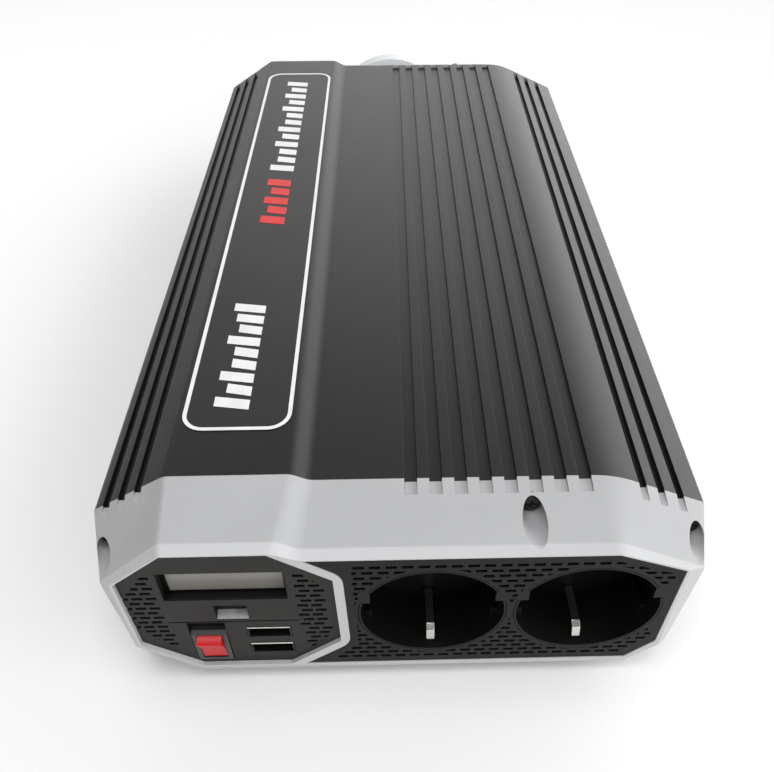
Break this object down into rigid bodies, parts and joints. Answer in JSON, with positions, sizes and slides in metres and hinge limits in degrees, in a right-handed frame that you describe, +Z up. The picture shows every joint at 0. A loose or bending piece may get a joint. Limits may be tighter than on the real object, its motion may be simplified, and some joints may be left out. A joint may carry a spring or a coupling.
{
  "type": "power inverter",
  "caption": "Flat box power inverter with ribbed metal housing, tapered end caps, recessed mains sockets, display, rocker switch and rear battery terminals.",
  "frame": {"origin": "on the table under the middle of the object's box", "axes": "+Z up, -Y towards the control side with the sockets, +X to the right seen from there"},
  "size_m": [0.1694, 0.3446, 0.0688],
  "materials": {
    "black_aluminium": "black satin anodised extrusion",
    "light_grey_plastic": "fine matt moulded",
    "rear_plastic": "fine matt moulded",
    "panel_plastic": "fine sparked texture",
    "black_plastic": "semi-gloss moulded",
    "label_film": "satin printed film",
    "display_window": "clear acrylic",
    "display_glass": "grey liquid crystal display",
    "light_pipe": "translucent milky",
    "bezel_plastic": "satin moulded",
    "rocker_red": "glossy moulded",
    "nickel_steel": "bright nickel plated",
    "zinc_steel": "zinc plated",
    "black_steel": "black oxide",
    "brass": "machined brass",
    "copper": "bare copper",
    "fan_plastic": "moulded",
    "red_plastic": "moulded",
    "circuit_board": "solder resist",
    "ferrite": "sintered ferrite",
    "winding_tape": "polyester tape",
    "capacitor_sleeve": "shrink sleeve",
    "enamelled_copper": "enamelled wire",
    "fuse_plastic": "translucent moulded",
    "lead_insulation": "cable insulation",
    "rubber": "soft rubber"
  },
  "bodies": {
    "chassis": {"top_housing": "black_aluminium", "bottom_housing": "black_aluminium", "front_cap": "light_grey_plastic", "rear_cap": "rear_plastic", "label_plate": "label_film", "control_panel": "panel_plastic", "socket_panel": "panel_plastic", "lcd_window": "display_window", "lcd_module": "display_glass", "status_light_pipe": "light_pipe", "switch_bezel": "bezel_plastic", "switch_terminals": "nickel_steel", "usb_shells": "nickel_steel", "usb_tongues": "black_plastic", "usb_board": "circuit_board", "left_socket_insert": "black_plastic", "right_socket_insert": "black_plastic", "earth_clips": "nickel_steel", "pin_contacts": "brass", "front_cap_screws": "black_steel", "rear_cap_screws": "black_steel", "fan_frame": "fan_plastic", "fan_stator": "enamelled_copper", "fan_guard": "light_grey_plastic", "fan_screws": "zinc_steel", "positive_base": "red_plastic", "negative_base": "black_plastic", "battery_studs": "brass", "ground_stud": "brass", "main_board": "circuit_board", "board_standoffs": "brass", "board_screws": "zinc_steel", "control_board": "circuit_board", "transformer_cores": "ferrite", "transformer_windings": "winding_tape", "input_capacitors": "capacitor_sleeve", "bus_capacitors": "black_plastic", "power_transistors": "black_plastic", "transistor_clamps": "zinc_steel", "output_choke": "enamelled_copper", "choke_base": "black_plastic", "blade_fuses": "fuse_plastic", "busbars": "copper", "output_leads": "lead_insulation", "rubber_feet": "rubber"},
    "power_rocker": {"power_rocker": "rocker_red"},
    "fan_rotor": {"fan_rotor": "fan_plastic"},
    "positive_washer": {"positive_washer": "zinc_steel"},
    "positive_nut": {"positive_nut": "nickel_steel"},
    "negative_washer": {"negative_washer": "zinc_steel"},
    "negative_nut": {"negative_nut": "nickel_steel"},
    "ground_washer": {"ground_washer": "zinc_steel"},
    "ground_nut": {"ground_nut": "brass"}
  },
  "joints": [
    {"name": "rocker_hinge", "type": "hinge", "parent": "chassis", "child": "power_rocker", "pos_m": [-0.0551, -0.1693, 0.0175], "axis": [-1, 0, 0], "range_deg": [0, 28]},
    {"name": "fan_spin", "type": "hinge", "parent": "chassis", "child": "fan_rotor", "pos_m": [0, 0.13435, 0.033], "axis": [0, 1, 0], "continuous": true},
    {"name": "positive_feed", "type": "slide", "parent": "chassis", "child": "positive_washer", "axis": [0, 1, 0], "range_m": [0, 0.00626]},
    {"name": "positive_nut_turn", "type": "hinge", "parent": "positive_washer", "child": "positive_nut", "pos_m": [0.055, 0.1545, 0.035], "axis": [0, 1, 0], "range_deg": [0, 1800]},
    {"name": "negative_feed", "type": "slide", "parent": "chassis", "child": "negative_washer", "axis": [0, 1, 0], "range_m": [0, 0.00626]},
    {"name": "negative_nut_turn", "type": "hinge", "parent": "negative_washer", "child": "negative_nut", "pos_m": [-0.055, 0.1545, 0.035], "axis": [0, 1, 0], "range_deg": [0, 1800]},
    {"name": "ground_feed", "type": "slide", "parent": "chassis", "child": "ground_washer", "axis": [0, 1, 0], "range_m": [0, 0.00401]},
    {"name": "ground_nut_turn", "type": "hinge", "parent": "ground_washer", "child": "ground_nut", "pos_m": [0.037, 0.1486, 0.013], "axis": [0, 1, 0], "range_deg": [0, 1440]}
  ],
  "couplings": [
    {"joint": "positive_feed", "follows": "positive_nut_turn", "m_per_rad": 0.00019894},
    {"joint": "negative_feed", "follows": "negative_nut_turn", "m_per_rad": 0.00019894},
    {"joint": "ground_feed", "follows": "ground_nut_turn", "m_per_rad": 0.00015915}
  ]
}
